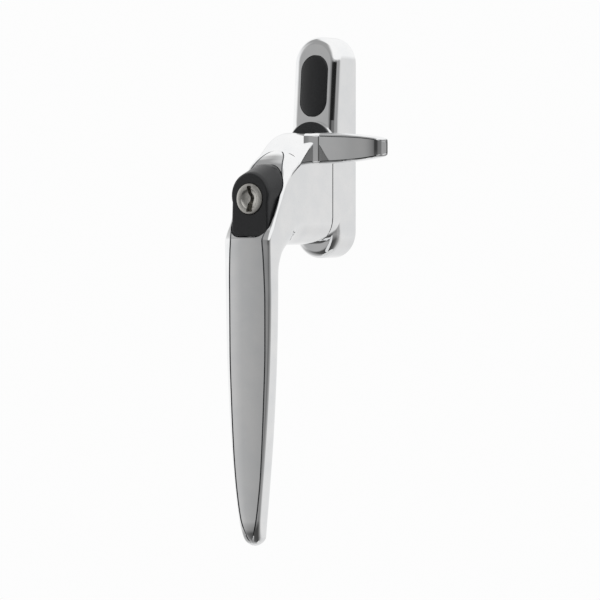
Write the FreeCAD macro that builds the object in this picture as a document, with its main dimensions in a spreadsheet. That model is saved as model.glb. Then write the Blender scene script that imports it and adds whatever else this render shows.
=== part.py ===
"""Casement window fastener: a locking cockspur handle on its backplate.

Millimetres. The origin is the pivot axis where it meets the frame, midway between the fixing holes.
+Z is up and the grip hangs down; the front faces -Y, so a depth of 10 is the plane Y = -10; the nose
points along +X. At rest the handle is shut and unlocked. Each function makes one piece.
"""
import FreeCAD
import Part

import math
import os
import re

import Sketcher
from FreeCAD import Vector as vector

SIZES = {
    # backplate
    "base_length": 66.0,  # height of the backplate
    "base_width": 16.0,  # width of the backplate, turret and boss
    "base_end_depth": 9.4,  # front face of the lobes at the two ends
    "base_inner_depth": 11.4,  # front face of the lobes where they meet the turret
    "base_edge_round": 2.5,  # rounding of the lobes' front edge
    "turret_depth": 12.3,  # flat seat that the handle turns on
    "turret_drop": 20.8,  # from the pivot down to the centre of the turret's lower end
    "fixing_spacing": 43.0,  # between the two fixing holes
    "fixing_hole_radius": 2.15,
    "screw_head_radius": 3.7,
    "screw_seat_depth": 3.5,
    # screw cover
    "cover_width": 9.4,
    "cover_length": 18.3,
    "cover_height": 18.3,  # centre of the cover above the pivot
    "cover_plate": 2.2,  # thickness under the sloping face
    "cover_proud": 0.15,
    "cover_clearance": 0.1,
    "cover_spigot_wall": 0.9,
    "cover_spigot_length": 1.2,
    # pivot
    "spindle_radius": 3.5,
    "spindle_shank_radius": 3.0,
    "spindle_shank_length": 8.0,
    "spindle_tail_depth": 0.4,
    "bush_radius": 4.3,
    "running_clearance": 0.05,
    "thrust_washer_radius": 7.6,
    "handle_gap": 0.4,  # between the turret and the boss, filled by the thrust washer
    "back_recess_radius": 6.6,
    "back_recess_depth": 2.9,
    "spindle_washer_radius": 6.0,
    "spindle_washer_thickness": 0.6,
    "disc_spring_radius": 5.8,
    "disc_spring_thickness": 0.35,
    "disc_spring_height": 0.6,
    "circlip_thickness": 0.7,
    "circlip_radius": 5.0,
    "circlip_groove_radius": 2.8,
    "stop_pin_radius": 0.8,
    "stop_pin_reach": 6.4,  # from the pivot
    "stop_pin_hold": 3.5,  # length held in the boss
    "stop_groove_depth": 1.6,
    "groove_clearance": 0.1,
    # handle
    "boss_top": 4.4,  # top of the boss, above the pivot
    "ramp_start_depth": 19.5,
    "ramp_end_depth": 34.6,
    "ramp_end_height": -4.4,
    "hood_depth": 38.4,
    "hood_height": -13.5,
    "grip_top_depth": 46.0,
    "grip_top_height": -27.2,
    "grip_middle_depth": 45.4,
    "grip_middle_height": -44.0,
    "grip_tip_depth": 44.8,
    "grip_back_depth": 39.2,
    "grip_tip_height": -115.8,
    "grip_tip_radius": 3.2,
    "grip_taper_start": -40.0,
    "underside_round": 8.0,
    "ramp_round": 12.0,
    "grip_back_round": 2.2,
    "front_round": 1.8,  # along both sides of the boss's top and the grip's front
    # nose
    "nose_height": -0.5,
    "nose_back_depth": 17.8,  # flat face that bears on the keep
    "nose_front_depth": 21.8,
    "nose_half_height": 4.7,
    "nose_tip_reach": 30.4,
    "nose_tip_front_depth": 21.3,
    "nose_tip_half_height": 2.5,
    "nose_round": 1.1,
    "nose_trim": 0.6,  # milled off the back of the nose to leave it flat
    # lock
    "lock_height": -15.35,
    "housing_face_depth": 44.0,
    "housing_rim_depth": 37.0,
    "housing_floor_depth": 34.0,
    "housing_rim_radius": 7.1,
    "housing_rim_height": -12.5,
    "housing_face_wall": 0.9,  # round the barrel at the face
    "housing_face_height": -14.4,
    "housing_bottom": -26.3,
    "housing_rim_foot": 6.3,
    "housing_face_foot": 5.9,
    "housing_clearance": 0.15,
    "housing_lip": 1.0,
    "barrel_wall": 0.7,
    "barrel_tail_depth": 29.5,
    "barrel_back_wall": 1.0,
    "plug_radius": 4.45,
    "plug_proud": 0.3,
    "plug_dish_radius": 2.8,
    "plug_dish_depth": 0.5,
    "plug_tail_radius": 2.4,
    "keyway_width": 1.8,
    "keyway_height": 7.6,
    "keyway_depth": 11.0,
    "wafer_pitch": 2.2,
    "wafer_first_depth": 40.6,
    "wafer_thickness": 0.8,
    "wafer_width": 5.4,
    "wafer_clearance": 0.08,
    "wafer_spring_radius": 0.3,
    "wafer_spring_wire": 0.1,
    "wafer_spring_reach": 2.0,
    "plug_clip_thickness": 0.6,
    "plug_clip_radius": 3.3,
    "plug_clip_groove_radius": 1.95,
    # locking bolt and cam
    "bolt_travel": 4.0,
    "cam_radius": 3.6,
    "cam_inner_radius": 2.2,
    "cam_disc_thickness": 2.0,
    "cam_clearance": 0.1,
    "cam_setback": 0.35,  # between the plug's circlip and the cam
    "bolt_radius": 1.5,
    "bolt_head_thickness": 1.8,
    "bolt_setback": 0.2,
    "bolt_hole_clearance": 0.15,
    "bore_clearance": 0.25,
    "bolt_flat": 3.0,
    "guide_radius": 2.5,
    "guide_length": 1.3,
    "bolt_spring_wire": 0.2,
    "bolt_spring_radius": 2.3,
    "cam_screw_radius": 1.0,
    "cam_screw_head_radius": 1.8,
    "cam_screw_head_thickness": 0.9,
    "cam_screw_length": 4.0,
}

KEY_TURN = 90.0  # degrees from unlocked to locked
FOLLOWER_ANGLE = 20.0  # degrees that each of the bolt's followers spans
HOUSING_LEAN = 18.0  # degrees below level where the housing's round head meets its sides
WAFERS = 4

# places along the depth, worked out from the sheet
BOSS_FACE = "(turret_depth + handle_gap)"
BOSS_BOTTOM = "(-turret_drop - base_width / 2)"
COVER_FLOOR = "(base_end_depth - cover_plate)"
SPINDLE_WASHER_START = "(back_recess_depth - disc_spring_height - spindle_washer_thickness)"
CIRCLIP_START = f"({SPINDLE_WASHER_START} - circlip_thickness)"
STOP_PIN_END = f"({BOSS_FACE} + stop_pin_hold)"
BARREL_RADIUS = "(plug_radius + running_clearance + barrel_wall)"
PLUG_FACE = "(housing_face_depth + plug_proud)"
PLUG_BACK = "(barrel_tail_depth + barrel_back_wall + running_clearance)"
PLUG_CLIP_START = "(barrel_tail_depth - plug_clip_thickness - running_clearance)"
CAM_FRONT = f"({PLUG_CLIP_START} - cam_setback)"
CAM_FACE = f"({CAM_FRONT} - cam_disc_thickness)"
BOLT_BACK = f"({BOSS_FACE} + bolt_setback)"
BOLT_HEAD_FRONT = f"({CAM_FACE} - bolt_travel - bolt_setback)"

doc = FreeCAD.newDocument("window_fastener")
sheet = doc.addObject("Spreadsheet::Sheet", "Sizes")
for row, (word, number) in enumerate(SIZES.items(), start=1):
    sheet.set(f"A{row}", word)
    sheet.set(f"B{row}", str(number))
    sheet.setAlias(f"B{row}", word)
doc.recompute()

pieces = []


def formula(text):
    """A formula in the sheet's words, as an expression that FreeCAD can bind."""
    return re.sub(r"[a-z]+(_[a-z]+)+", lambda word: "Sizes." + word.group(0), text)


def size(text):
    """The number that a formula in the sheet's words gives now."""
    return float(sheet.evalExpression(text))


def new_body(name):
    body = doc.addObject("PartDesign::Body", name)
    body.Label = name
    pieces.append(body)
    return body


def new_sketch(body, role, offset="0"):
    """A sketch on one of the body's own origin planes, moved along the plane's normal."""
    sketch = body.newObject("Sketcher::SketchObject", f"{body.Name}_outline")
    plane = next(item for item in body.Origin.OriginFeatures if item.Role == role)
    sketch.AttachmentSupport = [(plane, "")]
    sketch.MapMode = "FlatFace"
    sketch.setExpression("AttachmentOffset.Base.z", formula(offset))
    return sketch


def front_sketch(body, depth="0"):
    """Sketch x is +X and sketch y is +Z, at a depth in front of the frame."""
    return new_sketch(body, "XZ_Plane", depth)


def side_sketch(body):
    """Sketch x is +Y, so a depth is entered as minus x, and sketch y is +Z."""
    return new_sketch(body, "YZ_Plane")


def bind(sketch, kind, places, text):
    number = size(text) if kind != "Radius" else abs(size(text))
    index = sketch.addConstraint(Sketcher.Constraint(kind, *places, number))
    sketch.setExpression(f"Constraints[{index}]", formula(text))


def fix_point(sketch, edge, end, x, y):
    bind(sketch, "DistanceX", (-1, 1, edge, end), x)
    bind(sketch, "DistanceY", (-1, 1, edge, end), y)


def polygon(sketch, corners):
    """Closed straight outline through corners given as pairs of formulas."""
    points = [vector(size(x), size(y), 0) for x, y in corners]
    ends = points[1:] + points[:1]
    edges = [sketch.addGeometry(Part.LineSegment(a, b)) for a, b in zip(points, ends)]
    for edge, following in zip(edges, edges[1:] + edges[:1]):
        sketch.addConstraint(Sketcher.Constraint("Coincident", edge, 2, following, 1))
    for edge, (x, y) in zip(edges, corners):
        fix_point(sketch, edge, 1, x, y)


def circle(sketch, x, y, radius):
    centre = vector(size(x), size(y), 0)
    edge = sketch.addGeometry(Part.Circle(centre, vector(0, 0, 1), size(radius)))
    fix_point(sketch, edge, 3, x, y)
    bind(sketch, "Radius", (edge,), radius)


def stadium(sketch, top, bottom, radius):
    """Upright slot outline: half circles centred at heights top and bottom, on X = 0."""
    high, low, r = size(top), size(bottom), size(radius)
    up = vector(0, 0, 1)
    upper = sketch.addGeometry(Part.ArcOfCircle(Part.Circle(vector(0, high, 0), up, r), 0, math.pi))
    left = sketch.addGeometry(Part.LineSegment(vector(-r, high, 0), vector(-r, low, 0)))
    lower_circle = Part.Circle(vector(0, low, 0), up, r)
    lower = sketch.addGeometry(Part.ArcOfCircle(lower_circle, math.pi, 2 * math.pi))
    right = sketch.addGeometry(Part.LineSegment(vector(r, low, 0), vector(r, high, 0)))
    chain = (upper, left, lower, right)
    for edge, following in zip(chain, chain[1:] + chain[:1]):
        sketch.addConstraint(Sketcher.Constraint("Tangent", edge, 2, following, 1))
    fix_point(sketch, upper, 3, "0", top)
    bind(sketch, "Radius", (upper,), radius)
    bind(sketch, "DistanceY", (-1, 1, lower, 3), bottom)


def pad(body, sketch, length, symmetric=False):
    feature = body.newObject("PartDesign::Pad", f"{body.Name}_pad")
    feature.Profile = sketch
    feature.setExpression("Length", formula(length))
    if symmetric:
        feature.SideType = "Symmetric"
    sketch.Visibility = False
    doc.recompute()
    return feature


def pocket(body, sketch, length, symmetric=False):
    """A cut from the sketch towards the frame, or both ways from it; it has to take material."""
    before = body.Shape.Volume
    feature = body.newObject("PartDesign::Pocket", f"{body.Name}_pocket")
    feature.Profile = sketch
    feature.setExpression("Length", formula(length))
    if symmetric:
        feature.SideType = "Symmetric"
    doc.recompute()
    if body.Shape.Volume > before - 0.001:
        raise RuntimeError(f"{feature.Name} cuts nothing")
    return feature


def dress(body, kind, test, **sizes):
    """A fillet or chamfer on every edge of the body that passes the test."""
    base = body.Tip
    found = [f"Edge{i}" for i, edge in enumerate(base.Shape.Edges, start=1) if test(edge)]
    if not found:
        raise RuntimeError(f"{body.Name} has no such edge for its {kind}")
    feature = body.newObject(f"PartDesign::{kind}", f"{body.Name}_{kind.lower()}")
    feature.Base = (base, found)
    for name, text in sizes.items():
        feature.setExpression(name, formula(text))
    doc.recompute()
    if feature.Shape.isNull() or not feature.Shape.isValid():
        raise RuntimeError(f"{feature.Name} failed on {found}")
    return feature


def near(value, text, slack=0.02):
    return abs(value - size(text)) < slack


def ring(name, start, length, outer, inner, height="0"):
    """A plain round sleeve or washer about a line parallel to Y, starting at a depth."""
    body = new_body(name)
    sketch = front_sketch(body, start)
    circle(sketch, "0", height, outer)
    circle(sketch, "0", height, inner)
    pad(body, sketch, length)
    return body


def along_edge(edge, axis):
    """True for a straight edge that runs along one axis: 0 is X, 1 is Y, 2 is Z."""
    if edge.Curve.TypeId != "Part::GeomLine":
        return False
    return abs(abs(edge.Curve.Direction[axis]) - 1) < 1e-6


# ---------------------------------------------------------------------------- backplate


def base_casting():
    """Stadium-shaped plate: two sloping lobes and a flat raised seat, bored for the pivot and screws."""
    body = new_body("base_casting")
    half, radius = "base_length / 2 - base_width / 2", "base_width / 2"
    lobes = front_sketch(body)
    stadium(lobes, half, f"-({half})", radius)
    pad(body, lobes, "base_inner_depth")
    for side in ("", "-"):
        slope = side_sketch(body)
        corners = [
            ("-base_inner_depth", "0"),
            ("-base_inner_depth", f"{side}(base_width / 2)"),
            ("-base_end_depth", f"{side}(base_length / 2)"),
            ("-base_end_depth", f"{side}(base_length / 2 + 1)"),
            ("-base_inner_depth - 1", f"{side}(base_length / 2 + 1)"),
            ("-base_inner_depth - 1", "0"),
        ]
        polygon(slope, corners)
        pocket(body, slope, "2 * base_width", symmetric=True)
    dress(body, "Fillet", lobe_front_edge, Radius="base_edge_round")
    turret = front_sketch(body)
    stadium(turret, "0", "-turret_drop", radius)
    pad(body, turret, "turret_depth")

    cover = front_sketch(body, "base_inner_depth + 1")
    straight = "(cover_length - cover_width) / 2"
    high, low = f"cover_height + {straight}", f"cover_height - {straight}"
    stadium(cover, high, low, "cover_width / 2 + cover_clearance")
    pocket(body, cover, f"base_inner_depth + 1 - ({COVER_FLOOR})")
    for place in ("fixing_spacing / 2", "-fixing_spacing / 2"):
        head = front_sketch(body, "turret_depth + 1")
        circle(head, "0", place, "screw_head_radius")
        pocket(body, head, "turret_depth + 1 - screw_seat_depth")
        hole = front_sketch(body, "turret_depth + 1")
        circle(hole, "0", place, "fixing_hole_radius")
        pocket(body, hole, "turret_depth + 2")

    bore = front_sketch(body, "turret_depth + 1")
    circle(bore, "0", "0", "bush_radius")
    pocket(body, bore, "turret_depth + 2")
    back = front_sketch(body, "back_recess_depth")
    circle(back, "0", "0", "back_recess_radius")
    pocket(body, back, "back_recess_depth + 1")
    bolt_hole = front_sketch(body, "turret_depth + 1")
    circle(bolt_hole, "0", "lock_height", "bolt_radius + bolt_hole_clearance")
    pocket(body, bolt_hole, f"turret_depth + 1 - ({BOLT_BACK} - bolt_travel - 0.4)")
    stop_groove(body)


def lobe_front_edge(edge):
    """Edges around the front of the two sloping lobes, but not across the middle."""
    box = edge.BoundBox
    in_front = -box.YMax > size("base_end_depth") - 0.1
    across = along_edge(edge, 0)
    return in_front and not across


def stop_groove(body):
    """Quarter-round groove in the seat that the stop pin runs in."""
    depth = front_sketch(body, "turret_depth + 1")
    reach, half = size("stop_pin_reach"), size("stop_pin_radius + groove_clearance")
    up = vector(0, 0, 1)
    start, end = math.pi, 1.5 * math.pi
    centre = vector(0, 0, 0)
    outer = depth.addGeometry(Part.ArcOfCircle(Part.Circle(centre, up, reach + half), start, end))
    inner = depth.addGeometry(Part.ArcOfCircle(Part.Circle(centre, up, reach - half), start, end))
    left_round = Part.Circle(vector(-reach, 0, 0), up, half)
    left = depth.addGeometry(Part.ArcOfCircle(left_round, 0, math.pi))
    low_round = Part.Circle(vector(0, -reach, 0), up, half)
    low = depth.addGeometry(Part.ArcOfCircle(low_round, -math.pi / 2, math.pi / 2))
    for pair in ((left, 2, outer, 1), (left, 1, inner, 1), (low, 1, outer, 2), (low, 2, inner, 2)):
        depth.addConstraint(Sketcher.Constraint("Tangent", *pair))
    fix_point(depth, outer, 3, "0", "0")
    bind(depth, "Radius", (left,), "stop_pin_radius + groove_clearance")
    bind(depth, "DistanceX", (-1, 1, left, 3), "-stop_pin_reach")
    bind(depth, "DistanceY", (-1, 1, low, 3), "-stop_pin_reach")
    bind(depth, "DistanceY", (-1, 1, left, 3), "0")
    bind(depth, "DistanceX", (-1, 1, low, 3), "0")
    pocket(body, depth, "1 + stop_groove_depth")


def screw_cover_cap():
    """Push-in oval cover: a plate that follows the lobe's slope, on a hollow spigot."""
    body = new_body("screw_cover_cap")
    straight = "(cover_length - cover_width) / 2"
    plate = front_sketch(body, COVER_FLOOR)
    high, low = f"cover_height + {straight}", f"cover_height - {straight}"
    stadium(plate, high, low, "cover_width / 2")
    pad(body, plate, "cover_plate + base_inner_depth - base_end_depth")
    slope = side_sketch(body)
    inner, end = "-base_inner_depth - cover_proud", "-base_end_depth - cover_proud"
    corners = [
        (inner, "base_width / 2"),
        (end, "base_length / 2"),
        (f"{inner} - 4", "base_length / 2"),
        (f"{inner} - 4", "base_width / 2"),
    ]
    polygon(slope, corners)
    pocket(body, slope, "2 * base_width", symmetric=True)
    spigot = front_sketch(body, f"{COVER_FLOOR} - cover_spigot_length")
    circle(spigot, "0", "fixing_spacing / 2", "screw_head_radius - cover_clearance")
    circle(spigot, "0", "fixing_spacing / 2", "screw_head_radius - cover_clearance - cover_spigot_wall")
    pad(body, spigot, "cover_spigot_length")


# ---------------------------------------------------------------------------- pivot


def pivot_parts():
    """Bush and washers about the spindle, from the seat to the clip in the back recess."""
    ring("pivot_bush", "back_recess_depth", "turret_depth - back_recess_depth", "bush_radius",
         "spindle_radius + running_clearance")
    thrust_washer()
    ring("spindle_washer", SPINDLE_WASHER_START, "spindle_washer_thickness", "spindle_washer_radius",
         "spindle_radius + 2 * running_clearance")
    disc_spring()
    spindle_circlip()
    pivot_spindle()


def thrust_washer():
    """Black washer that fills the gap under the boss and turns with it on the stop pin."""
    body = ring("thrust_washer", "turret_depth", "handle_gap", "thrust_washer_radius",
                "spindle_radius + 2 * running_clearance")
    hole = front_sketch(body, BOSS_FACE)
    circle(hole, "0", "-stop_pin_reach", "stop_pin_radius + running_clearance")
    pocket(body, hole, "handle_gap")


def disc_spring():
    """Coned spring washer that keeps the handle's turning stiff."""
    body = new_body("disc_spring")
    profile = side_sketch(body)
    start = f"({SPINDLE_WASHER_START} + spindle_washer_thickness)"
    rise = "disc_spring_height - disc_spring_thickness"
    inner, outer = "spindle_radius + 3 * running_clearance", "disc_spring_radius"
    corners = [
        (f"-{start}", inner),
        (f"-{start} - ({rise})", outer),
        (f"-{start} - disc_spring_height", outer),
        (f"-{start} - disc_spring_thickness", inner),
    ]
    polygon(profile, corners)
    turn = body.newObject("PartDesign::Revolution", "disc_spring_turn")
    turn.Profile = profile
    turn.ReferenceAxis = (profile, ["H_Axis"])
    turn.Angle = 360
    doc.recompute()


def spindle_circlip():
    """Open retaining ring in the spindle's groove."""
    body = ring("spindle_circlip", CIRCLIP_START, "circlip_thickness", "circlip_radius",
                "circlip_groove_radius + 0.02")
    mouth = front_sketch(body, f"{CIRCLIP_START} + circlip_thickness")
    polygon(mouth, [
        ("-circlip_groove_radius * 0.7", "0"),
        ("circlip_groove_radius * 0.7", "0"),
        ("circlip_groove_radius * 0.7", "-circlip_radius - 1"),
        ("-circlip_groove_radius * 0.7", "-circlip_radius - 1"),
    ])
    pocket(body, mouth, "circlip_thickness")


def pivot_spindle():
    """Stepped spindle: journal in the bush, shank held in the handle's boss, clip groove at the tail."""
    body = new_body("pivot_spindle")
    profile = side_sketch(body)
    boss = f"({BOSS_FACE})"
    clip = f"({CIRCLIP_START})"
    far_side = f"{clip} + circlip_thickness + 0.02"
    corners = [
        ("-spindle_tail_depth", "0"),
        ("-spindle_tail_depth", "spindle_radius"),
        (f"-{clip} + 0.02", "spindle_radius"),
        (f"-{clip} + 0.02", "circlip_groove_radius"),
        (f"-({far_side})", "circlip_groove_radius"),
        (f"-({far_side})", "spindle_radius"),
        (f"-{boss}", "spindle_radius"),
        (f"-{boss}", "spindle_shank_radius"),
        (f"-{boss} - spindle_shank_length", "spindle_shank_radius"),
        (f"-{boss} - spindle_shank_length", "0"),
    ]
    polygon(profile, corners)
    turn = body.newObject("PartDesign::Revolution", "pivot_spindle_turn")
    turn.Profile = profile
    turn.ReferenceAxis = (profile, ["H_Axis"])
    turn.Angle = 360
    doc.recompute()


def stop_pin():
    """Pin in the boss whose end runs in the seat's groove."""
    body = new_body("stop_pin")
    pin = front_sketch(body, f"turret_depth - stop_groove_depth + groove_clearance")
    circle(pin, "0", "-stop_pin_reach", "stop_pin_radius")
    pad(body, pin, f"{STOP_PIN_END} - (turret_depth - stop_groove_depth + groove_clearance)")


# ---------------------------------------------------------------------------- handle


def handle_casting():
    """One casting: boss and neck over the turret, grip hanging down, nose to the side."""
    body = new_body("handle_casting")
    side = side_sketch(body)
    corners = [
        (f"-({BOSS_FACE})", "boss_top"),
        ("-ramp_start_depth", "boss_top"),
        ("-ramp_end_depth", "ramp_end_height"),
        ("-hood_depth", "hood_height"),
        ("-grip_top_depth", "grip_top_height"),
        ("-grip_middle_depth", "grip_middle_height"),
        ("-grip_tip_depth", "grip_tip_height - 1"),
        ("-grip_back_depth", "grip_tip_height - 1"),
        ("-grip_back_depth", BOSS_BOTTOM),
        (f"-({BOSS_FACE})", BOSS_BOTTOM),
    ]
    polygon(side, corners)
    pad(body, side, "base_width", symmetric=True)
    dress(body, "Fillet", underside_corner, Radius="underside_round")
    dress(body, "Fillet", ramp_corner, Radius="ramp_round")
    trim_front(body)
    dress(body, "Fillet", grip_back_edge, Radius="grip_back_round")
    dress(body, "Fillet", front_edge, Radius="front_round")
    trim_boss(body)
    nose(body)
    handle_bores(body)


def at_corner(edge, depth, height):
    """True for an edge along X at a depth and height."""
    middle = edge.CenterOfMass
    return along_edge(edge, 0) and near(-middle.y, depth) and near(middle.z, height)


def underside_corner(edge):
    return at_corner(edge, "grip_back_depth", BOSS_BOTTOM)


def ramp_corner(edge):
    corners = [
        ("ramp_start_depth", "boss_top"),
        ("ramp_end_depth", "ramp_end_height"),
        ("hood_depth", "hood_height"),
        ("grip_top_depth", "grip_top_height"),
        ("grip_middle_depth", "grip_middle_height"),
    ]
    return any(at_corner(edge, depth, height) for depth, height in corners)


def grip_back_edge(edge):
    """The two long edges behind the grip, from the underside's curve to the tip."""
    box = edge.BoundBox
    behind = near(-box.YMax, "grip_back_depth") and near(-box.YMin, "grip_back_depth")
    return behind and box.ZMax < size("grip_top_height") and not along_edge(edge, 0)


def front_edge(edge):
    """The long edges at both sides of the front, from the boss's top to the grip's tip."""
    box = edge.BoundBox
    on_boss = near(abs(box.XMin), "base_width / 2") and near(abs(box.XMax), "base_width / 2")
    on_ramp = on_boss and box.XLength < 0.01 and box.ZMin > size("grip_top_height") - 1
    on_ramp = on_ramp and box.YLength > 0.5
    on_grip = -box.YMax > size("grip_tip_depth") - 0.1 and box.ZMax < size("grip_top_height") + 4
    return (on_ramp or on_grip) and not along_edge(edge, 0)


def trim_front(body):
    """Cut the casting to its front outline: straight sides, long tapering arcs and a round tip."""
    front = front_sketch(body, "grip_top_depth + 1")
    margin = "base_width"
    polygon(front, [
        (f"-{margin}", f"boss_top + {margin}"),
        (margin, f"boss_top + {margin}"),
        (margin, f"grip_tip_height - {margin}"),
        (f"-{margin}", f"grip_tip_height - {margin}"),
    ])
    half, start = size("base_width / 2"), size("grip_taper_start")
    tip = size("grip_tip_radius")
    centre_z = size("grip_tip_height + grip_tip_radius")
    drop = start - centre_z
    big = (half**2 + drop**2 - tip**2) / (2 * half - 2 * tip)
    top = size("boss_top + 1")
    turn = math.atan2(drop, big - half)
    up = vector(0, 0, 1)
    line = Part.LineSegment
    cap = front.addGeometry(line(vector(-half, top, 0), vector(half, top, 0)))
    right = front.addGeometry(line(vector(half, top, 0), vector(half, start, 0)))
    right_circle = Part.Circle(vector(half - big, start, 0), up, big)
    right_arc = front.addGeometry(Part.ArcOfCircle(right_circle, -turn, 0))
    end_circle = Part.Circle(vector(0, centre_z, 0), up, tip)
    end = front.addGeometry(Part.ArcOfCircle(end_circle, math.pi + turn, 2 * math.pi - turn))
    left_circle = Part.Circle(vector(big - half, start, 0), up, big)
    left_arc = front.addGeometry(Part.ArcOfCircle(left_circle, math.pi, math.pi + turn))
    left = front.addGeometry(line(vector(-half, start, 0), vector(-half, top, 0)))
    for pair in ((cap, 2, right, 1), (left, 2, cap, 1)):
        front.addConstraint(Sketcher.Constraint("Coincident", *pair))
    smooth = (
        (right, 2, right_arc, 2),
        (right_arc, 1, end, 2),
        (end, 1, left_arc, 2),
        (left_arc, 1, left, 1),
    )
    for pair in smooth:
        front.addConstraint(Sketcher.Constraint("Tangent", *pair))
    fix_point(front, cap, 1, "-base_width / 2", "boss_top + 1")
    fix_point(front, cap, 2, "base_width / 2", "boss_top + 1")
    front.addConstraint(Sketcher.Constraint("Vertical", right))
    front.addConstraint(Sketcher.Constraint("Vertical", left))
    bind(front, "DistanceY", (-1, 1, right, 2), "grip_taper_start")
    bind(front, "DistanceY", (-1, 1, left, 1), "grip_taper_start")
    fix_point(front, end, 3, "0", "grip_tip_height + grip_tip_radius")
    bind(front, "Radius", (end,), "grip_tip_radius")
    pocket(body, front, "grip_top_depth + 1")


def trim_boss(body):
    """Round the boss's lower end to match the turret under it."""
    lower = front_sketch(body, "grip_back_depth - underside_round - 1")
    half, level = size("base_width / 2"), size("-turret_drop")
    margin = 2
    places = [(half, level), (half + margin, level), (half + margin, level - half - margin),
              (-half - margin, level - half - margin), (-half - margin, level), (-half, level)]
    points = [vector(x, y, 0) for x, y in places]
    edges = [lower.addGeometry(Part.LineSegment(a, b)) for a, b in zip(points, points[1:])]
    round_end = Part.Circle(vector(0, level, 0), vector(0, 0, 1), half)
    arc = lower.addGeometry(Part.ArcOfCircle(round_end, math.pi, 2 * math.pi))
    for edge, following in zip(edges, edges[1:]):
        lower.addConstraint(Sketcher.Constraint("Coincident", edge, 2, following, 1))
    lower.addConstraint(Sketcher.Constraint("Coincident", edges[-1], 2, arc, 1))
    lower.addConstraint(Sketcher.Constraint("Coincident", arc, 2, edges[0], 1))
    fix_point(lower, arc, 3, "0", "-turret_drop")
    bind(lower, "Radius", (arc,), "base_width / 2")
    for edge in (edges[0], edges[2], edges[4]):
        lower.addConstraint(Sketcher.Constraint("Horizontal", edge))
    for edge in (edges[1], edges[3]):
        lower.addConstraint(Sketcher.Constraint("Vertical", edge))
    fix_point(lower, edges[1], 2, f"base_width / 2 + {margin}", f"{BOSS_BOTTOM} - {margin}")
    bind(lower, "DistanceX", (-1, 1, edges[3], 1), f"-base_width / 2 - {margin}")
    bind(lower, "DistanceY", (-1, 1, arc, 1), "-turret_drop")
    pocket(body, lower, f"grip_back_depth - underside_round - 1 - ({BOSS_FACE})")


def nose(body):
    """Tapering wedge that reaches over the frame's keep, lofted from the neck's side to its tip."""
    root = new_sketch(body, "YZ_Plane", "base_width / 2 - 2")
    tip = new_sketch(body, "YZ_Plane", "nose_tip_reach")
    sections = [
        (root, "nose_front_depth", "nose_half_height"),
        (tip, "nose_tip_front_depth", "nose_tip_half_height"),
    ]
    for sketch, front, half in sections:
        polygon(sketch, [
            ("-nose_back_depth + nose_trim", f"nose_height - {half}"),
            (f"-{front}", f"nose_height - {half}"),
            (f"-{front}", f"nose_height + {half}"),
            ("-nose_back_depth + nose_trim", f"nose_height + {half}"),
        ])
    loft = body.newObject("PartDesign::AdditiveLoft", "handle_casting_nose")
    loft.Profile = root
    loft.Sections = [tip]
    doc.recompute()
    flat = front_sketch(body, "nose_back_depth")
    polygon(flat, [
        ("base_width / 2", "nose_height - nose_half_height - nose_trim"),
        ("nose_tip_reach + nose_trim", "nose_height - nose_half_height - nose_trim"),
        ("nose_tip_reach + nose_trim", "nose_height + nose_half_height + nose_trim"),
        ("base_width / 2", "nose_height + nose_half_height + nose_trim"),
    ])
    pocket(body, flat, "2 * nose_trim")
    dress(body, "Fillet", nose_edge, Radius="nose_round")


def nose_edge(edge):
    """Edges of the nose's front and end, clear of the neck."""
    box = edge.BoundBox
    outside = box.XMax > size("nose_tip_reach") - 0.1
    at_back = near(-box.YMin, "nose_back_depth")
    return outside and not at_back


def handle_bores(body):
    """Pocket for the lock housing, stepped bore for the lock, and holes for the spindle and stop pin."""
    seat = front_sketch(body, "grip_top_depth + 1")
    housing_outline(seat, "housing_rim_radius + housing_clearance", "housing_rim_height",
                    "housing_rim_foot + housing_clearance", "housing_bottom - housing_clearance")
    pocket(body, seat, "grip_top_depth + 1 - housing_floor_depth")
    steps = [
        (f"{BARREL_RADIUS} + bore_clearance", "barrel_tail_depth"),
        ("cam_radius + bore_clearance", BOLT_HEAD_FRONT),
        ("guide_radius", BOSS_FACE),
    ]
    for radius, floor in steps:
        bore = front_sketch(body, "housing_floor_depth + 1")
        circle(bore, "0", "lock_height", radius)
        pocket(body, bore, f"housing_floor_depth + 1 - ({floor})")
    keyed = front_sketch(body, f"{BOLT_HEAD_FRONT}")
    flatted_circle(keyed, "cam_radius + bore_clearance", "bolt_flat + bore_clearance")
    pocket(body, keyed, f"{BOLT_HEAD_FRONT} - ({BOSS_FACE} + guide_length)")
    shank = front_sketch(body, f"{BOSS_FACE} + spindle_shank_length")
    circle(shank, "0", "0", "spindle_shank_radius")
    pocket(body, shank, "spindle_shank_length")
    pin = front_sketch(body, STOP_PIN_END)
    circle(pin, "0", "-stop_pin_reach", "stop_pin_radius")
    pocket(body, pin, f"{STOP_PIN_END} - ({BOSS_FACE})")


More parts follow.
